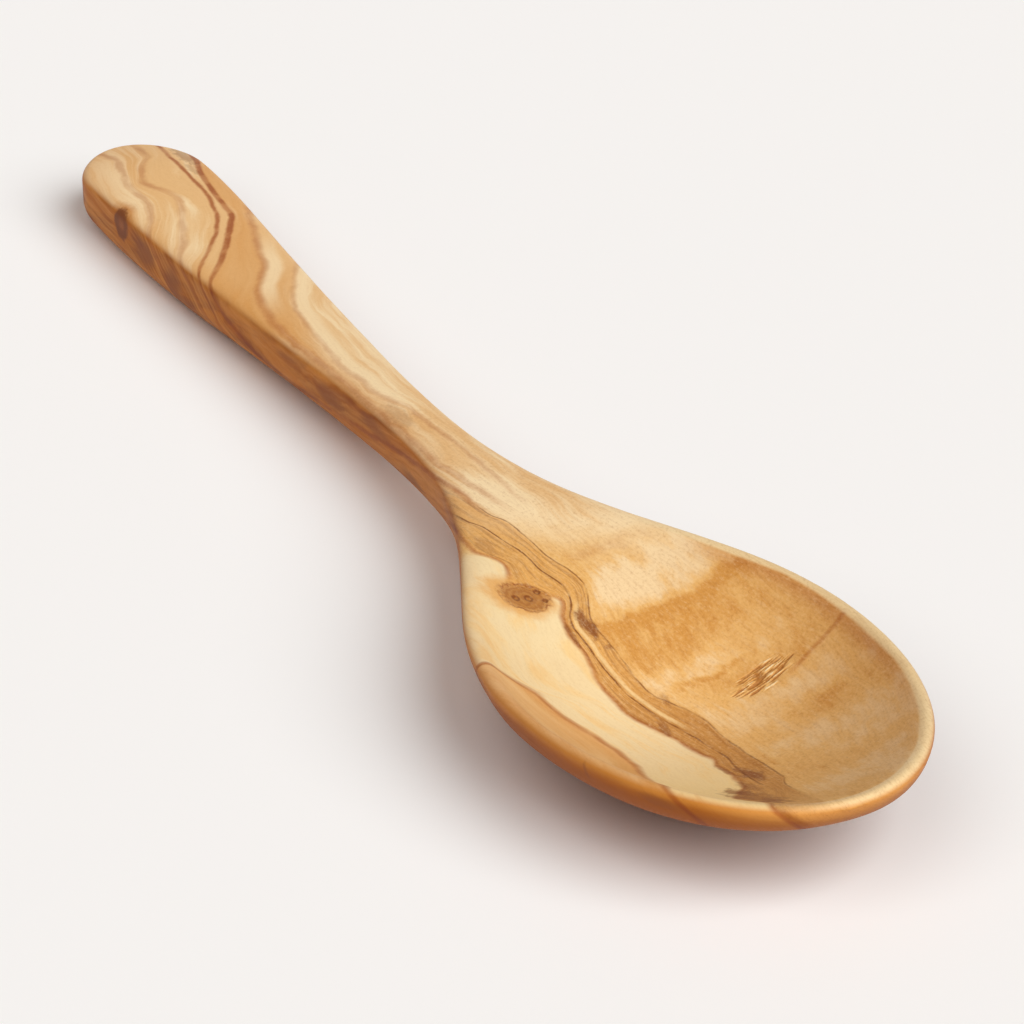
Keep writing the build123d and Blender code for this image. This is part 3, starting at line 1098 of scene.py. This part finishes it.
def soft_lamp(name, strength, tint, turn, rise, width):
    """A wide far lamp, turned to the right of the camera and raised above the table."""
    light = bpy.data.lights.new(name, "SUN")
    light.energy = strength
    light.color = tint
    light.angle = width
    lamp = bpy.data.objects.new(name, light)
    level, away = level_axes()
    side = level * math.sin(turn) - away * math.cos(turn)
    lamp.location = side * math.cos(rise) + Vector((0, 0, math.sin(rise)))
    lamp.rotation_euler = (-lamp.location).to_track_quat("-Z", "Y").to_euler()
    bpy.context.scene.collection.objects.link(lamp)


class SPOON_OT_stage(bpy.types.Operator):
    """Set the table, the lamps and the camera"""

    bl_idname = "spoon.stage"
    bl_label = "Set the stage"

    def execute(self, context):
        scene, stage = context.scene, context.scene.spoon_stage
        work = bmesh.new()
        bmesh.ops.create_grid(work, x_segments=1, y_segments=1, size=TABLE_REACH)
        floor_mesh = bpy.data.meshes.new("table")
        work.to_mesh(floor_mesh)
        work.free()
        table = bpy.data.objects.new("table", floor_mesh)
        scene.collection.objects.link(table)
        paint = bpy.data.materials.new("table_paint")
        paint.use_nodes = True
        shader = paint.node_tree.nodes["Principled BSDF"]
        shader.inputs["Base Color"].default_value = (*stage.floor, 1)
        shader.inputs["Roughness"].default_value = TABLE_ROUGHNESS
        table.data.materials.append(paint)

        right, up, forward = camera_axes()
        lens = bpy.data.cameras.new("photo_view")
        lens.sensor_width = SENSOR_MM
        lens.lens = FOCAL_PIXELS / PHOTO_SIDE * SENSOR_MM
        lens.clip_start, lens.clip_end = CLIP_NEAR, CLIP_FAR
        camera = bpy.data.objects.new("photo_view", lens)
        turn = Matrix((right, up, -forward)).transposed()
        camera.matrix_world = Matrix.Translation(camera_place()) @ turn.to_4x4()
        scene.collection.objects.link(camera)
        scene.camera = camera

        width = stage.lamp_width
        soft_lamp("key_lamp", stage.lamp, stage.lamp_tint, stage.lamp_turn, stage.lamp_rise, width)
        soft_lamp("fill_lamp", stage.fill, (1, 1, 1), -stage.fill_turn, stage.fill_rise, width)

        world = bpy.data.worlds.new("studio")
        world.use_nodes = True
        tree = world.node_tree
        sky = tree.nodes["Background"]
        sky.inputs["Color"].default_value = (*stage.sky_tint, 1)
        sky.inputs["Strength"].default_value = stage.sky
        walls = tree.nodes.new("ShaderNodeBackground")
        walls.inputs["Strength"].default_value = stage.sheen
        chosen = tree.nodes.new("ShaderNodeMixShader")
        path = tree.nodes.new("ShaderNodeLightPath")
        tree.links.new(path.outputs["Is Glossy Ray"], chosen.inputs[0])
        tree.links.new(sky.outputs[0], chosen.inputs[1])
        tree.links.new(walls.outputs[0], chosen.inputs[2])
        tree.links.new(chosen.outputs[0], tree.nodes["World Output"].inputs["Surface"])
        scene.world = world
        scene.view_settings.view_transform = "Standard"
        return {"FINISHED"}


class SPOON_PT_panel(bpy.types.Panel):
    """The spoon's settings and steps"""

    bl_label = "Olive wood spoon"
    bl_idname = "SPOON_PT_panel"
    bl_space_type = "VIEW_3D"
    bl_region_type = "UI"
    bl_category = "Spoon"

    def draw(self, context):
        scene = context.scene
        for group in (scene.spoon_shape, scene.spoon_wood, scene.spoon_stage):
            box = self.layout.box()
            for name in group.__annotations__:
                box.prop(group, name)
        for step in STEPS:
            self.layout.operator(step.bl_idname)


STEPS = (SPOON_OT_carve, SPOON_OT_grain, SPOON_OT_finish, SPOON_OT_stage)
CLASSES = (SpoonShape, WoodColours, StageSettings, *STEPS, SPOON_PT_panel)


def register():
    for piece in CLASSES:
        bpy.utils.register_class(piece)
    bpy.types.Scene.spoon_shape = bpy.props.PointerProperty(type=SpoonShape)
    bpy.types.Scene.spoon_wood = bpy.props.PointerProperty(type=WoodColours)
    bpy.types.Scene.spoon_stage = bpy.props.PointerProperty(type=StageSettings)


def unregister():
    del bpy.types.Scene.spoon_stage
    del bpy.types.Scene.spoon_wood
    del bpy.types.Scene.spoon_shape
    for piece in reversed(CLASSES):
        bpy.utils.unregister_class(piece)


def main():
    register()
    bpy.ops.spoon.carve()
    bpy.ops.spoon.grain()
    bpy.ops.spoon.finish()
    bpy.ops.spoon.stage()
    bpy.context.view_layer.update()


if __name__ == "__main__":
    main()
